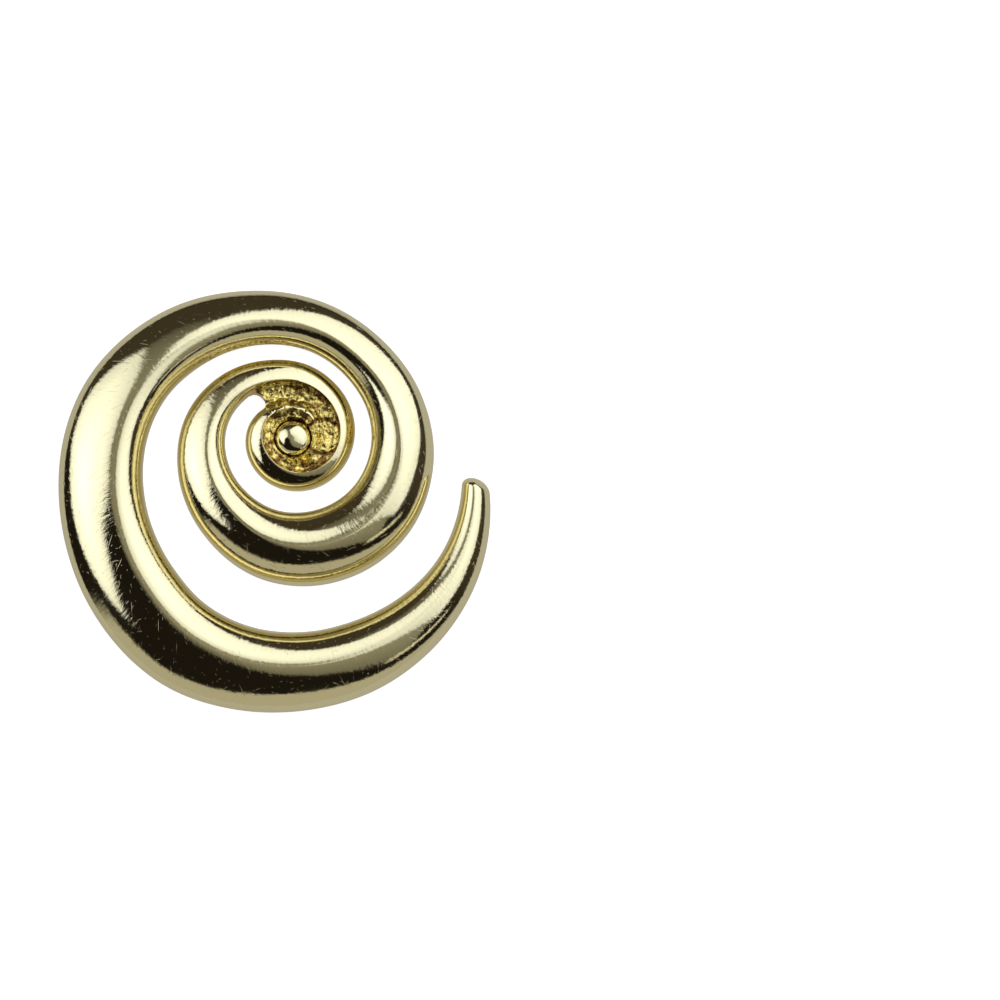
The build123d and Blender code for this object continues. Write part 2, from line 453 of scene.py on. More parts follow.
def gold_plate(name, seed, wear):
    """A plated metal. wear scales its scratches and pits."""
    material = bpy.data.materials.new(name)
    material.use_nodes = True
    tree = material.node_tree
    shader = tree.nodes["Principled BSDF"]
    shader.inputs["Metallic"].default_value = 1.0

    def marks(group, **values):
        inputs = {"Place": place, "Seed": seed}
        inputs.update({label.replace("_", " "): value for label, value in values.items()})
        node = add(tree, "ShaderNodeGroup", node_tree=group)
        for label, value in inputs.items():
            if isinstance(value, bpy.types.NodeSocket):
                tree.links.new(value, node.inputs[label])
            else:
                node.inputs[label].default_value = value
        return node.outputs

    place = add(tree, "ShaderNodeAttribute", attribute_name="place").outputs["Vector"]
    skin_share = add(tree, "ShaderNodeAttribute", attribute_name="skin").outputs["Fac"]
    border = noise(tree, place, 1.1, seed + 4.0, 3.0, 0.6)
    skin = ramp(tree, calc(tree, "ADD", skin_share, calc(tree, "MULTIPLY", border, 0.9)), 0.85, 1.0)
    polished = calc(tree, "SUBTRACT", 1.0, skin)

    hand = ramp(tree, noise(tree, place, 0.12, seed + 6.0, 1.0), 0.4, 0.6, 0.5, 1.0)
    wheel = calc(tree, "MULTIPLY", marks(WHEEL_MARKS, Spacing=0.42, Reach=1.0)["Height"], hand)
    grit = noise(tree, place, 6.0, seed + 1.0, 3.0, 0.7)
    short = marks(SCRATCHES, Cell=1.3, Width=0.022, Share=0.4, Spread=6.28)["Mask"]
    long = marks(SCRATCHES, Cell=3.5, Width=0.028, Share=0.85, Main_angle=1.1, Spread=1.2)["Mask"]
    hair = marks(SCRATCHES, Cell=0.7, Width=0.02, Share=0.4, Spread=6.28)["Mask"]
    scratch = calc(tree, "MULTIPLY", calc(tree, "MAXIMUM", calc(tree, "MAXIMUM", short, long), hair), wear)
    pit = calc(tree, "MULTIPLY", marks(PITS, Cell=2.2, Radius=0.06, Share=0.3)["Mask"], wear)
    grains = marks(CAST_SKIN, Grain=0.55)

    def amount(height, millimetres, share):
        return calc(tree, "MULTIPLY", calc(tree, "MULTIPLY", height, millimetres), share)

    heights = [
        amount(wheel, MARK_HEIGHT, polished),
        amount(grit, GRIT_HEIGHT, polished),
        amount(scratch, -SCRATCH_DEPTH, polished),
        amount(pit, -PIT_DEPTH, polished),
        amount(grains["Height"], SKIN_HEIGHT, skin),
        calc(tree, "MULTIPLY", skin, SKIN_STEP),
    ]
    total = heights[0]
    for height in heights[1:]:
        total = calc(tree, "ADD", total, height)
    bump = add(tree, "ShaderNodeBump", {"Height": total, "Strength": 1.0, "Distance": MM})
    tree.links.new(bump.outputs[0], shader.inputs["Normal"])

    # Painted shade: this attribute darkens the skin colour in the web's low places and in a ring round the
    # bead, where shade falls
    grime = add(tree, "ShaderNodeAttribute", attribute_name="grime").outputs["Fac"]
    skin_colour = add(tree, "ShaderNodeMix", {
        "Factor": calc(tree, "MULTIPLY", grains["Tone_and_shade"], calc(tree, "MULTIPLY_ADD", grime, -HOLLOW_SHADE_STRENGTH, 1.0)),
        6: SKIN_DARK,
        7: SKIN_LIGHT,
    }, data_type="RGBA").outputs[2]
    colour = add(tree, "ShaderNodeMix", {
        "Factor": skin,
        6: POLISHED,
        7: skin_colour,
    }, data_type="RGBA").outputs[2]
    tree.links.new(colour, shader.inputs["Base Color"])

    smudge = ramp(tree, noise(tree, place, 0.25, seed + 2.0, 3.0, 0.6), 0.35, 0.7, *MIRROR)
    dull = add(tree, "ShaderNodeAttribute", attribute_name="dull").outputs["Fac"]
    tumbled = calc(tree, "MULTIPLY_ADD", dull, DULL_WALL, smudge)
    worn = calc(tree, "MULTIPLY_ADD", scratch, DULL_SCRATCH, tumbled)
    on_skin = calc(tree, "MULTIPLY", skin, DULL_SKIN)
    roughness = calc(tree, "ADD", calc(tree, "MULTIPLY", worn, polished), on_skin)
    tree.links.new(roughness, shader.inputs["Roughness"])
    return material


casting_gold = gold_plate("gold_plate", 1.0, 1.0)
bead_gold = gold_plate("bead_gold_plate", 5.0, 0.5)

# %% [markdown]
# The sweep. The spine is a chain of points along the arm's middle line, and
# each point carries the arm's half width, height, lean and waist and the way
# outwards. Curve to Mesh hangs the same circle on every point. The tree then
# moves each point of each circle to its place on the section.
#
# The section isn't an oval. Its bright bands give it away: the outer side
# rises as a short upright wall and then slopes almost straight up to the
# crest, and the inner side is rounder, over a higher wall. So each quarter is
# a curve with two handles: rise keeps it upright at the waist, and run keeps it
# level at the crest. Below the waist both sides turn under a little and are cut
# flat where they meet the table.
#
# Sweeping a rule is better here than bending a ready-made tube, because width
# and height change by themselves along the arm. The same tree then presses
# shallow waves into the dome, as hand grinding does, and sinks blobs into the
# crest of the last turn, which was left as it came from the mould. It also writes down for
# the finish where each point lies along and around the arm.

# %% The spine of the arm
TIP_STEPS = 14  # stations on the rounded tip
TURN_STEP = 1.5  # degrees between the other stations

# turn, share of cast skin left on the arm's inner wall there
WALL_SKIN = [
    (0, 0.2), (200, 0.25), (222, 0.75), (252, 0.8), (275, 0.1), (318, 0.35), (345, 0.65), (370, 0.2),
    (480, 0.1), (560, 0.4), (600, 0.8), (920, 1.0), (1200, 1.0),
]


def wall_skin(turn):
    """The share of cast skin on the inner wall at any turn, on straight lines through the rows."""
    for (start, before), (end, after) in zip(WALL_SKIN, WALL_SKIN[1:]):
        if turn <= end:
            return before + (after - before) * (turn - start) / (end - start)
    return WALL_SKIN[-1][1]


def spine_turns():
    """The turns of the spine's points: bunched on the tip as on a ball, then even."""
    tip_turn = degrees(TIP_ROUNDING / middle_radius(0))
    on_tip = [tip_turn * (1 - cos(pi / 2 * k / TIP_STEPS)) for k in range(1, TIP_STEPS + 1)]
    count = int((LAST_TURN - tip_turn) / TURN_STEP)
    even = [tip_turn + (LAST_TURN - tip_turn) * k / count for k in range(1, count + 1)]
    return [tip_turn * 0.0008] + on_tip + even


turns = spine_turns()
points = [at_turn(turn, middle_radius(turn)) for turn in turns]
along = [0.0]
for before, after in zip(points, points[1:]):
    along.append(along[-1] + (after - before).length / MM)
spine = chain_mesh("arm_spine", points, {
    "half_width": [arm_size(turn)[0] for turn in turns],
    "height": [arm_size(turn)[1] for turn in turns],
    "lean": [smooth(LEAN, turn) for turn in turns],
    "waist": [smooth(WAIST, turn) for turn in turns],
    "outward": [at_turn(turn, 1.0) for turn in turns],
    "turn": turns,
    "along": along,
    "wall_skin": [wall_skin(turn) for turn in turns],
})
print("spine points:", len(points), " length of the arm, mm:", round(along[-1], 1))

# %% The sweep that turns the spine into the arm
def bezier(tree, t, values):
    """A cubic curve through four handle values, at t from 0 to 1."""
    rest = calc(tree, "SUBTRACT", 1.0, t)
    total = calc(tree, "MULTIPLY", calc(tree, "POWER", rest, 3.0), values[0])
    weights = [
        calc(tree, "MULTIPLY", calc(tree, "MULTIPLY", calc(tree, "POWER", rest, 2.0), t), 3.0),
        calc(tree, "MULTIPLY", calc(tree, "MULTIPLY", calc(tree, "POWER", t, 2.0), rest), 3.0),
        calc(tree, "POWER", t, 3.0),
    ]
    for weight, value in zip(weights, values[1:]):
        total = calc(tree, "ADD", total, calc(tree, "MULTIPLY", weight, value))
    return total


def sweep_tree():
    tree, given = geometry_tree("sweep_the_arm", [
        ("Inner waist", "Float", 0.43),
        ("Keel", "Float", -0.2),
        ("Outer rise", "Float", 0.475),
        ("Outer run", "Float", 0.193),
        ("Inner rise", "Float", 0.276),
        ("Inner run", "Float", 0.539),
        ("Underside handle", "Float", 0.5523),
        ("Points round", "Int", 68),
        ("Grinding waves", "Float", 0.03 * MM),
        ("Skin lumps", "Float", 0.08 * MM),
        ("Melted lumps", "Float", 0.3),
        ("Least depth", "Float", 0.004 * MM),
        ("Seed", "Float", 3.0),
        ("Metal", "Material", None),
    ])
    chain = add(tree, "GeometryNodeMeshToCurve", {"Mesh": given["Geometry"]}).outputs[0]
    chain, middle = keep_place(tree, chain, "Middle")
    ring = add(tree, "GeometryNodeCurvePrimitiveCircle", {
        "Resolution": given["Points round"],
        "Radius": 1.0,
    }).outputs[0]
    ring, on_ring = keep_place(tree, ring, "On ring")
    tube = add(tree, "GeometryNodeCurveToMesh", {
        "Curve": chain,
        "Profile Curve": ring,
        "Fill Caps": True,
    }).outputs[0]

    across, up, _ = add(tree, "ShaderNodeSeparateXYZ", {0: on_ring}).outputs
    is_dome = calc(tree, "GREATER_THAN", up, 0.0)
    is_outer = calc(tree, "GREATER_THAN", across, 0.0)

    def pick(condition, when_true, when_false):
        return add(tree, "GeometryNodeSwitch", {
            "Switch": condition,
            "False": when_false,
            "True": when_true,
        }, input_type="FLOAT").outputs[0]

    side = pick(is_outer, 1.0, -1.0)
    waist = pick(is_outer, named(tree, "waist"), given["Inner waist"])
    rise = pick(is_dome, pick(is_outer, given["Outer rise"], given["Inner rise"]), given["Underside handle"])
    run = pick(is_dome, pick(is_outer, given["Outer run"], given["Inner run"]), given["Underside handle"])
    pole_across = calc(tree, "MULTIPLY", pick(is_dome, named(tree, "lean"), 0.0), -1.0)
    pole_up = pick(is_dome, 1.0, given["Keel"])
    from_waist = calc(tree, "DIVIDE", calc(
        tree, "ARCTAN2", calc(tree, "ABSOLUTE", up), calc(tree, "ABSOLUTE", across)
    ), pi / 2)
    outwards_by = bezier(tree, from_waist, [1.0, 1.0, run, 0.0])
    upwards_by = bezier(tree, from_waist, [0.0, rise, 1.0, 1.0])
    share_across = calc(tree, "ADD", pole_across, calc(
        tree, "MULTIPLY", outwards_by, calc(tree, "SUBTRACT", side, pole_across)
    ))
    share_up = calc(tree, "MAXIMUM", calc(tree, "ADD", waist, calc(
        tree, "MULTIPLY", upwards_by, calc(tree, "SUBTRACT", pole_up, waist)
    )), 0.0)

    half_width = named(tree, "half_width")
    around = calc(tree, "MULTIPLY", calc(tree, "ARCTAN2", across, up), half_width)
    place = add(tree, "ShaderNodeCombineXYZ", {
        "X": named(tree, "along"),
        "Y": calc(tree, "MULTIPLY", around, 1000.0),
    }).outputs[0]
    blobs = ramp(tree, noise(tree, place, 0.9, given["Seed"], 1.0), 0.35, 0.65)
    on_last_turn = calc(
        tree, "MULTIPLY", ramp(tree, named(tree, "turn"), 925.0, 955.0), ramp(tree, share_up, 0.3, 0.8)
    )
    melted = calc(tree, "MULTIPLY", calc(tree, "MULTIPLY", blobs, on_last_turn), given["Melted lumps"])
    outwards = scaled(
        tree, named(tree, "outward", "FLOAT_VECTOR"), calc(tree, "MULTIPLY", share_across, half_width)
    )
    full_height = calc(tree, "MULTIPLY", share_up, named(tree, "height"))
    up_by = calc(tree, "MULTIPLY", full_height, calc(tree, "SUBTRACT", 1.0, melted))
    upwards = add(tree, "ShaderNodeCombineXYZ", {"Z": up_by}).outputs[0]
    on_arm = vector_calc(tree, "ADD", middle, vector_calc(tree, "ADD", outwards, upwards))
    arm = add(tree, "GeometryNodeSetPosition", {"Geometry": tube, "Position": on_arm}).outputs[0]

    low_wall = ramp(tree, share_up, 0.8, 0.5)
    inner = ramp(tree, share_across, -0.5, -0.85)
    web_side = calc(tree, "MULTIPLY", ramp(tree, share_across, 0.3, 0.7), ramp(
        tree, named(tree, "turn"), 900.0, 940.0
    ))
    facing_in = calc(tree, "MAXIMUM", inner, web_side)
    skin = calc(tree, "MULTIPLY", calc(tree, "MULTIPLY", low_wall, facing_in), named(tree, "wall_skin"))
    in_the_gap = calc(tree, "MULTIPLY", ramp(tree, share_across, 0.3, 0.5), ramp(
        tree, named(tree, "turn"), 330.0, 370.0
    ))
    faces_up = add(tree, "ShaderNodeSeparateXYZ", {
        0: add(tree, "GeometryNodeInputNormal").outputs[0],
    }).outputs["Z"]
    dull = calc(tree, "MULTIPLY", calc(tree, "MAXIMUM", inner, in_the_gap), ramp(tree, faces_up, 0.4, 0.15))
    arm = tell_the_finish(tree, arm, place, skin, dull)

    waves = calc(tree, "MULTIPLY", noise(tree, place, 0.22, given["Seed"], 1.0), given["Grinding waves"])
    lumps = calc(tree, "MULTIPLY", noise(tree, place, 1.3, given["Seed"], 2.0), given["Skin lumps"])
    depth = calc(tree, "ADD", given["Least depth"], calc(
        tree, "ADD", waves, calc(tree, "MULTIPLY", lumps, skin)
    ))
    clear_of_back = ramp(tree, up_by, 0.05 * MM, 0.6 * MM)
    inwards = scaled(
        tree, add(tree, "GeometryNodeInputNormal").outputs[0],
        calc(tree, "MULTIPLY", calc(tree, "MULTIPLY", depth, clear_of_back), -1.0),
    )
    arm = add(tree, "GeometryNodeSetPosition", {"Geometry": arm, "Offset": inwards}).outputs[0]
    finish_tree(tree, arm, given["Metal"])
    return tree


arm = grown("arm", spine, sweep_tree(), Metal=casting_gold)

# %% [markdown]
# The web. Between its last turns the casting isn't open: a thin floor of cast
# metal joins them, and the gap between the turns stops at a round end where
# the floor starts. Nobody could polish in there, so it stays as it came from
# the mould, crusty, with a small fillet where it climbs the arm.
#
# It is cut like a biscuit. A finely divided slab gets its crusty top first,
# then an upright cutter with the web's outline trims it, a drill makes the
# blind socket for the bead, and the result is united with the arm. So the
# spiral is one closed body, as the real casting is.

# %% The cutter: the web's outline as an upright prism
WEB_THICKNESS = 1.3 * MM
WEB_REACH = 0.25  # how far past the arm's middle line its hidden rim runs, as a share of the half width
GAP_END_RADIUS = 0.75 * MM
GAP_END_TURN = 574.0  # turn of the arm just outside the end of the gap
CUTTER_STEP = 2.0  # degrees


def web_outline():
    """The rim, hidden in the arm for one turn, and then the gap's round end, which runs into both walls."""
    count = int(360 / CUTTER_STEP)
    rim_turns = [GAP_END_TURN + CUTTER_STEP * k for k in range(count + 1)]
    rim = [at_turn(turn, middle_radius(turn) + WEB_REACH * arm_size(turn)[0]) for turn in rim_turns]
    outer_wall = middle_radius(GAP_END_TURN) - arm_size(GAP_END_TURN)[0]
    inner_wall = middle_radius(GAP_END_TURN + 360) + arm_size(GAP_END_TURN + 360)[0]
    centre = at_turn(GAP_END_TURN, (outer_wall + inner_wall) / 2)
    outward = at_turn(GAP_END_TURN, 1.0)
    inward_turn = at_turn(GAP_END_TURN + 90, 1.0)
    reach = (outer_wall - inner_wall) / 2 + 0.12 * MM
    arc = [
        centre + GAP_END_RADIUS * sin(pi * k / 24) * inward_turn - reach * cos(pi * k / 24) * outward
        for k in range(25)
    ]
    return rim + arc


def prism(name, outline, low, high):
    """An upright closed prism over a flat outline that runs clockwise."""
    count = len(outline)
    mesh = bpy.data.meshes.new(name)
    mesh.from_pydata(
        [(p.x, p.y, low) for p in outline] + [(p.x, p.y, high) for p in outline],
        [],
        [tuple(range(count)), tuple(reversed(range(count, 2 * count)))]
        + [(k, count + k, count + (k + 1) % count, (k + 1) % count) for k in range(count)],
    )
    return mesh


cutter = prism("web_cutter", web_outline(), 0.0, 3 * MM)
print("outline points:", len(cutter.vertices) // 2)

# %% The web, trimmed, drilled and united with the arm
BEAD_RADIUS = 1.8 * MM  # where it meets the web
BEAD_HEIGHT = 0.8 * MM
BALL_RADIUS = (BEAD_RADIUS**2 + BEAD_HEIGHT**2) / (2 * BEAD_HEIGHT)  # of the ball that the bead is the top of
BALL_CENTRE = WEB_THICKNESS + BEAD_HEIGHT - BALL_RADIUS
SHANK_RADIUS = 0.7 * MM
SHANK_LENGTH = 0.8 * MM
SHANK_CLEARANCE = 0.03 * MM
FILLET_SPREAD = 0.22 * MM  # how fast the fillet fades away from the arm

# Round the bead, as radii in millimetres: a shallow hollow, painted shade in it, and a low collar
HOLLOW_RADIUS = 1.72
SHADE_RING_RADIUS = 1.85
COLLAR_RADIUS = 2.25
CLEAR_OF_BEAD = (1.9, 2.3)  # the crust starts here and is at its full height there


def casting_tree():
    tree, given = geometry_tree("cast_the_web", [
        ("Arm", "Object", None),
        ("Side", "Float", 19.0 * MM),
        ("Points along a side", "Int", 190),
        ("Thickness", "Float", WEB_THICKNESS),
        ("Lumps", "Float", 0.50 * MM),
        ("Crust", "Float", 0.34 * MM),
        ("Fillet", "Float", 0.45 * MM),
        ("Collar", "Float", 0.12 * MM),
        ("Hollow", "Float", 0.22 * MM),
        ("Seed", "Float", 8.0),
        ("Metal", "Material", None),
    ])
    arm_mesh = add(tree, "GeometryNodeObjectInfo", {"Object": given["Arm"]}).outputs["Geometry"]
    size = add(tree, "ShaderNodeCombineXYZ", {
        "X": given["Side"],
        "Y": given["Side"],
        "Z": given["Thickness"],
    }).outputs[0]
    slab = add(tree, "GeometryNodeMeshCube", {
        "Size": size,
        "Vertices X": given["Points along a side"],
        "Vertices Y": given["Points along a side"],
        "Vertices Z": 2,
    }).outputs["Mesh"]
    slab = add(tree, "GeometryNodeTransform", {
        "Geometry": slab,
        "Translation": add(tree, "ShaderNodeCombineXYZ", {
            "Z": calc(tree, "MULTIPLY", given["Thickness"], 0.5),
        }).outputs[0],
    }).outputs[0]

    position = add(tree, "GeometryNodeInputPosition").outputs[0]
    x, y, z = add(tree, "ShaderNodeSeparateXYZ", {0: position}).outputs
    flat_place = scaled(tree, add(tree, "ShaderNodeCombineXYZ", {"X": x, "Y": y}).outputs[0], 1000.0)
    from_axis = add(tree, "ShaderNodeVectorMath", {0: flat_place}, operation="LENGTH").outputs["Value"]
    to_arm = add(tree, "GeometryNodeProximity", {
        "Geometry": arm_mesh,
    }, target_element="FACES").outputs["Distance"]
    climb = calc(tree, "EXPONENT", calc(tree, "DIVIDE", to_arm, -FILLET_SPREAD))

    lumps = calc(tree, "MULTIPLY", calc(
        tree, "SUBTRACT", noise(tree, flat_place, 1.1, given["Seed"], 1.0), 0.5
    ), given["Lumps"])
    crust = calc(tree, "MULTIPLY", calc(
        tree, "SUBTRACT", noise(tree, flat_place, 3.2, given["Seed"], 3.0, 0.65), 0.5
    ), given["Crust"])
    clear_of_bead = ramp(tree, from_axis, *CLEAR_OF_BEAD)
    rough = calc(tree, "MULTIPLY", calc(tree, "ADD", lumps, crust), clear_of_bead)

    def round_the_bead(radius, outer, inner):
        """A soft ring at a radius, nothing beyond outer to either side and whole within inner."""
        beside = calc(tree, "ABSOLUTE", calc(tree, "SUBTRACT", from_axis, radius))
        return ramp(tree, beside, outer, inner)

    collar = calc(tree, "MULTIPLY", round_the_bead(COLLAR_RADIUS, 0.14, 0.0), given["Collar"])
    hollow = calc(tree, "MULTIPLY", round_the_bead(HOLLOW_RADIUS, 0.35, 0.1), given["Hollow"])
    top = calc(tree, "ADD", calc(tree, "ADD", z, rough), calc(
        tree, "ADD", calc(tree, "SUBTRACT", collar, hollow), calc(tree, "MULTIPLY", climb, given["Fillet"])
    ))
    # Painted shade: the low places of the crust and a ring in the hollow round the bead are marked for a darker
    # colour
    in_hollows = ramp(tree, rough, 0.02 * MM, -0.07 * MM)
    round_bead = round_the_bead(SHADE_RING_RADIUS, 0.35, 0.1)
    is_top = calc(tree, "GREATER_THAN", z, 0.1 * MM)
    grime = calc(tree, "MULTIPLY", calc(tree, "MAXIMUM", in_hollows, round_bead), is_top)
    slab = add(tree, "GeometryNodeStoreNamedAttribute", {
        "Geometry": slab,
        "Name": "hollows",
        "Value": grime,
    }, data_type="FLOAT", domain="POINT").outputs[0]
    slab = add(tree, "GeometryNodeSetPosition", {
        "Geometry": slab,
        "Selection": is_top,
        "Position": add(tree, "ShaderNodeCombineXYZ", {"X": x, "Y": y, "Z": top}).outputs[0],
    }).outputs[0]

    web = add(tree, "GeometryNodeMeshBoolean", {}, operation="INTERSECT", solver="EXACT")
    tree.links.new(slab, web.inputs["Mesh 2"])
    tree.links.new(given["Geometry"], web.inputs["Mesh 2"])
    drill = add(tree, "GeometryNodeMeshCylinder", {
        "Vertices": 48,
        "Radius": SHANK_RADIUS + SHANK_CLEARANCE,
        "Depth": 2 * (SHANK_LENGTH + SHANK_CLEARANCE),
    }).outputs["Mesh"]
    drill = add(tree, "GeometryNodeTransform", {
        "Geometry": drill,
        "Translation": (0, 0, WEB_THICKNESS),
    }).outputs[0]
    drilled = add(tree, "GeometryNodeMeshBoolean", {
        "Mesh 1": web.outputs["Mesh"],
        "Mesh 2": drill,
    }, operation="DIFFERENCE", solver="EXACT").outputs["Mesh"]
    drilled = tell_the_finish(tree, drilled, in_millimetres(tree), 1.0, 0.0, named(tree, "hollows"))

    union = add(tree, "GeometryNodeMeshBoolean", {}, operation="UNION", solver="EXACT")
    tree.links.new(arm_mesh, union.inputs["Mesh 2"])
    tree.links.new(drilled, union.inputs["Mesh 2"])
    finish_tree(tree, union.outputs["Mesh"], given["Metal"])
    return tree


casting = grown("casting", cutter, casting_tree(), Arm=arm, Metal=casting_gold)
bpy.data.objects.remove(arm)

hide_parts("cast_spiral")
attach(casting, "root")

# %% [markdown]
# The bead in the middle looks like a ball, but what shows is the top of a
# larger ball: a low dome, turned or cast and tumbled, with a shank below it
# that stands in the web's socket. It is drawn as its profile from the bottom
# of the shank to the top of the dome, and a tree spins the profile round the
# axis. A dome alone would be simpler, but then nothing would hold it.

# %% The bead and its shank
def bead_profile():
    """Radius and height of the profile, from the shank's end up to the bead's top."""
    bevel = 0.08 * MM
    foot = WEB_THICKNESS - SHANK_LENGTH
    shank = [
        (0.002 * MM, foot), (SHANK_RADIUS - bevel, foot), (SHANK_RADIUS, foot + bevel),
        (SHANK_RADIUS, WEB_THICKNESS - bevel), (SHANK_RADIUS, WEB_THICKNESS),
    ]
    slack = 0.002 * MM
    start = asin((WEB_THICKNESS - BALL_CENTRE) / BALL_RADIUS)
    rows = 40
    angles = [start + (pi / 2 - start) * k / rows for k in range(rows)]
    dome = [(BALL_RADIUS * cos(a) - slack, BALL_CENTRE + BALL_RADIUS * sin(a) - slack) for a in angles]
    return shank + dome + [(slack, BALL_CENTRE + BALL_RADIUS - slack)]


def lathe_tree():
    tree, given = geometry_tree("turn_on_a_lathe", [
        ("Points round", "Int", 96),
        ("Dents", "Float", 0.02 * MM),
        ("Seed", "Float", 2.0),
        ("Metal", "Material", None),
    ])
    chain = add(tree, "GeometryNodeMeshToCurve", {"Mesh": given["Geometry"]}).outputs[0]
    chain, level = keep_place(tree, chain, "Level")
    ring = add(tree, "GeometryNodeCurvePrimitiveCircle", {
        "Resolution": given["Points round"],
        "Radius": 1.0,
    }).outputs[0]
    ring, on_ring = keep_place(tree, ring, "On ring")
    tube = add(tree, "GeometryNodeCurveToMesh", {
        "Curve": chain,
        "Profile Curve": ring,
        "Fill Caps": True,
    }).outputs[0]
    spun = vector_calc(tree, "ADD", level, scaled(tree, on_ring, named(tree, "reach")))
    bead = add(tree, "GeometryNodeSetPosition", {"Geometry": tube, "Position": spun}).outputs[0]
    place = in_millimetres(tree)
    bead = tell_the_finish(tree, bead, place, 0.0)
    above_seat = ramp(tree, add(tree, "ShaderNodeSeparateXYZ", {0: place}).outputs["Z"], 1.35, 1.6)
    depth = calc(tree, "MULTIPLY", noise(tree, place, 0.7, given["Seed"], 1.0), given["Dents"])
    inwards = scaled(
        tree, add(tree, "GeometryNodeInputNormal").outputs[0],
        calc(tree, "MULTIPLY", calc(tree, "MULTIPLY", depth, above_seat), -1.0),
    )
    bead = add(tree, "GeometryNodeSetPosition", {"Geometry": bead, "Offset": inwards}).outputs[0]
    finish_tree(tree, bead, given["Metal"])
    return tree


profile = bead_profile()
bead_chain = chain_mesh(
    "bead_profile", [Vector((0, 0, height)) for _, height in profile], {"reach": [r for r, _ in profile]}
)
bead = grown("bead", bead_chain, lathe_tree(), Metal=bead_gold)

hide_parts("centre_bead")
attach(bead, "root")

# %% [markdown]
# The camera looks down from 82 degrees, so a little of the outer wall shows
# at the bottom of the picture. Its height is guessed from that wall, and its
# lens then follows from the size of one pixel.

# %% The camera
PHOTO_WIDTH = 1000.0  # pixels
PIXEL = 0.1053 * MM  # real size of one pixel of the photograph
ORIGIN_PIXEL = (292.6, 441.4)  # where the table under the bead would show in the photograph
LOOK_PIXEL = (265.0, 500.0)  # the point that the camera's height and distance are taken from
ELEVATION = 82.0
DISTANCE = 0.375


def on_table(pixel):
    """The point of the table that shows at a pixel of the photograph."""
    return Vector(((pixel[0] - ORIGIN_PIXEL[0]) * PIXEL, (ORIGIN_PIXEL[1] - pixel[1]) * PIXEL, 0))


camera_data = bpy.data.cameras.new("camera")
camera = bpy.data.objects.new("camera", camera_data)
bpy.context.scene.collection.objects.link(camera)
bpy.context.scene.camera = camera
to_camera = Vector((0, -cos(radians(ELEVATION)), sin(radians(ELEVATION))))
camera.location = on_table(LOOK_PIXEL) + to_camera * DISTANCE
aim = on_table((PHOTO_WIDTH / 2, PHOTO_WIDTH / 2)) - camera.location
right = aim.cross(Vector((0, 1, 0))).normalized()
above = right.cross(aim).normalized()
camera.rotation_euler = Matrix((right, above, -aim.normalized())).transposed().to_euler()
camera_data.lens = camera_data.sensor_width * aim.length / (PHOTO_WIDTH * PIXEL)
camera_data.clip_end = 10
print("camera lens, mm:", round(camera_data.lens, 1))

# %% [markdown]
# A polished dome is a wide mirror, so its look is mostly the room that it
# mirrors. The bands on the arm show that room: a soft panel on the left and a
# larger one on the right, both brightest in the middle, the bright edge of a
# window, a dim ceiling between them, an olive dark behind, black in front, and
# the white table below. The world under the table is plain grey, for the back.
#
# Each panel is a flat fan. Its points are given by the direction in which the
# earring sees them: the tilt from straight up, the azimuth, anticlockwise from
# the right, and the glow there.

# %% The studio
def toward(tilt, azimuth):
    t, a = radians(tilt), radians(azimuth)
    return Vector((sin(t) * cos(a), sin(t) * sin(a), cos(t)))


def glow_material(name, colour, strength):
    """Light from the front of a panel only, as strong as the glow of its points says."""
    material = bpy.data.materials.new(name)
    material.use_nodes = True
    tree = material.node_tree
    tree.nodes.clear()
    glow = add(tree, "ShaderNodeAttribute", attribute_name="glow").outputs["Fac"]
    front = calc(tree, "SUBTRACT", 1.0, add(tree, "ShaderNodeNewGeometry").outputs["Backfacing"])
    light = add(tree, "ShaderNodeEmission", {
        "Color": colour,
        "Strength": calc(tree, "MULTIPLY", calc(tree, "MULTIPLY", glow, strength), front),
    })
    add(tree, "ShaderNodeOutputMaterial", {"Surface": light.outputs[0]})
    return material


def panel(name, facing, distance, middle, corners, strength, colour):
    """A flat soft light where the given directions meet its plane."""
    normal = toward(*facing)
    fan = [middle] + corners
    spots = [toward(tilt, azimuth) for tilt, azimuth, _ in fan]
    count = len(corners)
    mesh = bpy.data.meshes.new(name)
    mesh.from_pydata(
        [spot * (distance / spot.dot(normal)) for spot in spots], [],
        [(0, 1 + k, 1 + (k + 1) % count) for k in range(count)],
    )
    if mesh.polygons[0].normal.dot(normal) > 0:
        mesh.flip_normals()
    mesh.attributes.new("glow", "FLOAT", "POINT")
    for item, (_, _, glow) in zip(mesh.attributes["glow"].data, fan):
        item.value = glow
    mesh.materials.append(glow_material(name, colour, strength))
    light = bpy.data.objects.new(name, mesh)
    bpy.context.scene.collection.objects.link(light)
    light.visible_camera = False
    print(name, "is", round(mesh.vertices[0].co.length, 2), "m away")


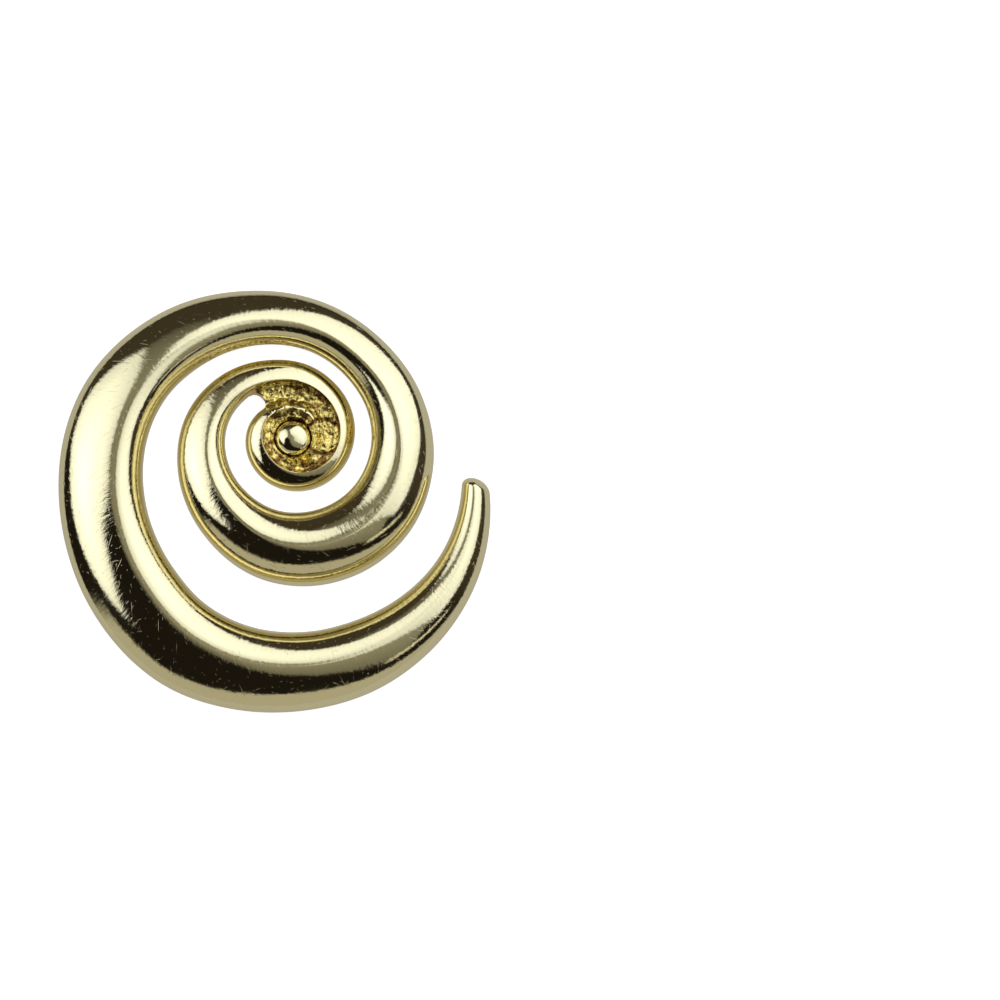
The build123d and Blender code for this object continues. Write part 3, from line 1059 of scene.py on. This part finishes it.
COOL_WHITE = (0.92, 1.0, 1.25, 1)
panel(
    "left_panel", (48, 162), 1.2, (55, 172, 1), [
        (61, 124, 0.46), (70, 134, 0.46), (76, 142, 0.5), (80, 150, 0.5), (79, 160, 0.5), (74, 168, 0.52),
        (70, 178, 0.55), (64, 190, 0.55), (57, 202, 0.55), (52, 210, 0.5), (45, 199, 0.55), (40.5, 183, 0.55),
        (35.5, 174.5, 0.5), (30.5, 167, 0.46), (30, 152, 0.46), (36, 137, 0.46), (46.5, 128, 0.46),
    ], 1.95, COOL_WHITE,
)
panel(
    "right_panel", (44, 22), 1.2, (52, 32, 1), [
        (19.5, 103, 0.6), (27, 116.5, 0.6), (37.5, 116.5, 0.6), (45.5, 111.5, 0.62), (52, 99, 0.66),
        (58, 90, 0.68), (66, 81, 0.7), (73, 72, 0.7), (78.5, 62, 0.7), (83, 51, 0.72), (84.5, 42, 0.74),
        (84, 31, 0.74), (80, 19, 0.7), (75, 8.5, 0.66), (71, -3.5, 0.62), (68, -15, 0.6), (65, -26, 0.58),
        (48, -31, 0.5), (30, -35, 0.5), (12, -50, 0.4), (6, -60, 0.3), (8, 0, 0.5), (10, 60, 0.5),
    ], 1.65, COOL_WHITE,
)
panel(
    "window_edge", (44, 22), 1.15, (68.5, -37, 1), [
        (61.5, -50, 0.5), (74.5, -23, 0.8), (76.5, -24, 0.4), (65, -51, 0.3),
    ], 1.1, (1, 1, 1, 1),
)
panel(
    "dim_ceiling", (20, 200), 1.6, (4, 200, 0.30), [
        (60, 100, 0.07), (61, 112, 0.09), (61, 124, 0.12), (46, 131, 0.2), (33, 140, 0.2), (30, 165, 0.2),
        (22, 180, 0.10), (20, 205, 0.07), (24, 235, 0.10), (30, 255, 0.15), (35, 268, 0.17), (43, 283, 0.17),
        (52, 298, 0.17), (60, 308, 0.17), (65, 320, 0.2), (60, 330, 0.25), (30, 335, 0.25), (12, 0, 0.35),
        (12, 40, 0.35), (20, 100, 0.25), (40, 112, 0.2), (52, 100, 0.15),
    ], 1.0, (1, 1, 0.95, 1),
)


def room_world():
    """White to the camera. To the metal: olive behind, black in front, grey low in front and below."""
    world = bpy.data.worlds.new("room")
    world.use_nodes = True
    tree = world.node_tree
    tree.nodes.clear()
    ray = add(tree, "ShaderNodeTexCoord").outputs["Generated"]
    x, y, z = add(tree, "ShaderNodeSeparateXYZ", {0: ray}).outputs
    behind = ramp(tree, calc(tree, "MULTIPLY_ADD", x, 0.35, y), -0.2, 0.25)
    dark = add(tree, "ShaderNodeMix", {
        "Factor": behind,
        6: (0.012, 0.010, 0.009, 1),
        7: (0.048, 0.040, 0.032, 1),
    }, data_type="RGBA").outputs[2]
    to_right = calc(tree, "POWER", calc(tree, "MAXIMUM", x, 0.0), 2.0)
    low = ramp(tree, calc(tree, "MULTIPLY_ADD", to_right, 0.46, z), 0.455, 0.425)
    low_front = calc(tree, "MULTIPLY", low, ramp(tree, y, -0.33, -0.5))
    under_table = ramp(tree, z, -0.3, -0.9)
    seen = add(tree, "ShaderNodeMix", {
        "Factor": calc(tree, "MAXIMUM", low_front, under_table),
        6: dark,
        7: (0.46, 0.46, 0.46, 1),
    }, data_type="RGBA").outputs[2]
    is_camera = add(tree, "ShaderNodeLightPath").outputs["Is Camera Ray"]
    colour = add(tree, "ShaderNodeMix", {
        "Factor": is_camera,
        6: seen,
        7: (1, 1, 1, 1),
    }, data_type="RGBA").outputs[2]
    background = add(tree, "ShaderNodeBackground", {"Color": colour, "Strength": 1.0})
    add(tree, "ShaderNodeOutputWorld", {"Surface": background.outputs[0]})
    bpy.context.scene.world = world


room_world()


def make_table():
    """A white sheet, lit from below too. To the metal it ends in the dark a little way behind.

    It lies a hair under the flat back, and it can't be seen from below, so the back can.
    """
    side, low = 1.4, -0.02 * MM
    mesh = bpy.data.meshes.new("table")
    mesh.from_pydata(
        [(-side, -side, low), (side, -side, low), (side, side, low), (-side, side, low)], [], [(0, 1, 2, 3)]
    )
    material = bpy.data.materials.new("white_sheet")
    material.use_nodes = True
    tree = material.node_tree
    tree.nodes.clear()
    paper = add(tree, "ShaderNodeBsdfDiffuse", {"Color": (0.42, 0.42, 0.41, 1)})
    is_camera = add(tree, "ShaderNodeLightPath").outputs["Is Camera Ray"]
    glow = add(tree, "ShaderNodeEmission", {
        "Color": (1.0, 0.98, 0.98, 1),
        "Strength": calc(tree, "MULTIPLY_ADD", is_camera, 0.7, 0.24),
    })
    lit = add(tree, "ShaderNodeAddShader", {0: paper.outputs[0], 1: glow.outputs[0]})
    x, y, _ = add(tree, "ShaderNodeSeparateXYZ", {0: add(tree, "ShaderNodeTexCoord").outputs["Object"]}).outputs
    far_back = ramp(tree, calc(tree, "MULTIPLY_ADD", x, 0.25, y), 0.021, 0.045)
    unlit = calc(tree, "MULTIPLY", far_back, calc(tree, "SUBTRACT", 1.0, is_camera))
    dark = add(tree, "ShaderNodeBsdfDiffuse", {"Color": (0.05, 0.045, 0.04, 1)})
    sheet = add(tree, "ShaderNodeMixShader", {0: unlit, 1: lit.outputs[0], 2: dark.outputs[0]})
    one_sided = add(tree, "ShaderNodeMixShader", {
        0: add(tree, "ShaderNodeNewGeometry").outputs["Backfacing"],
        1: sheet.outputs[0],
        2: add(tree, "ShaderNodeBsdfTransparent").outputs[0],
    })
    add(tree, "ShaderNodeOutputMaterial", {"Surface": one_sided.outputs[0]})
    mesh.materials.append(material)
    table = bpy.data.objects.new("table", mesh)
    bpy.context.scene.collection.objects.link(table)


make_table()
bpy.context.scene.view_settings.view_transform = "Standard"
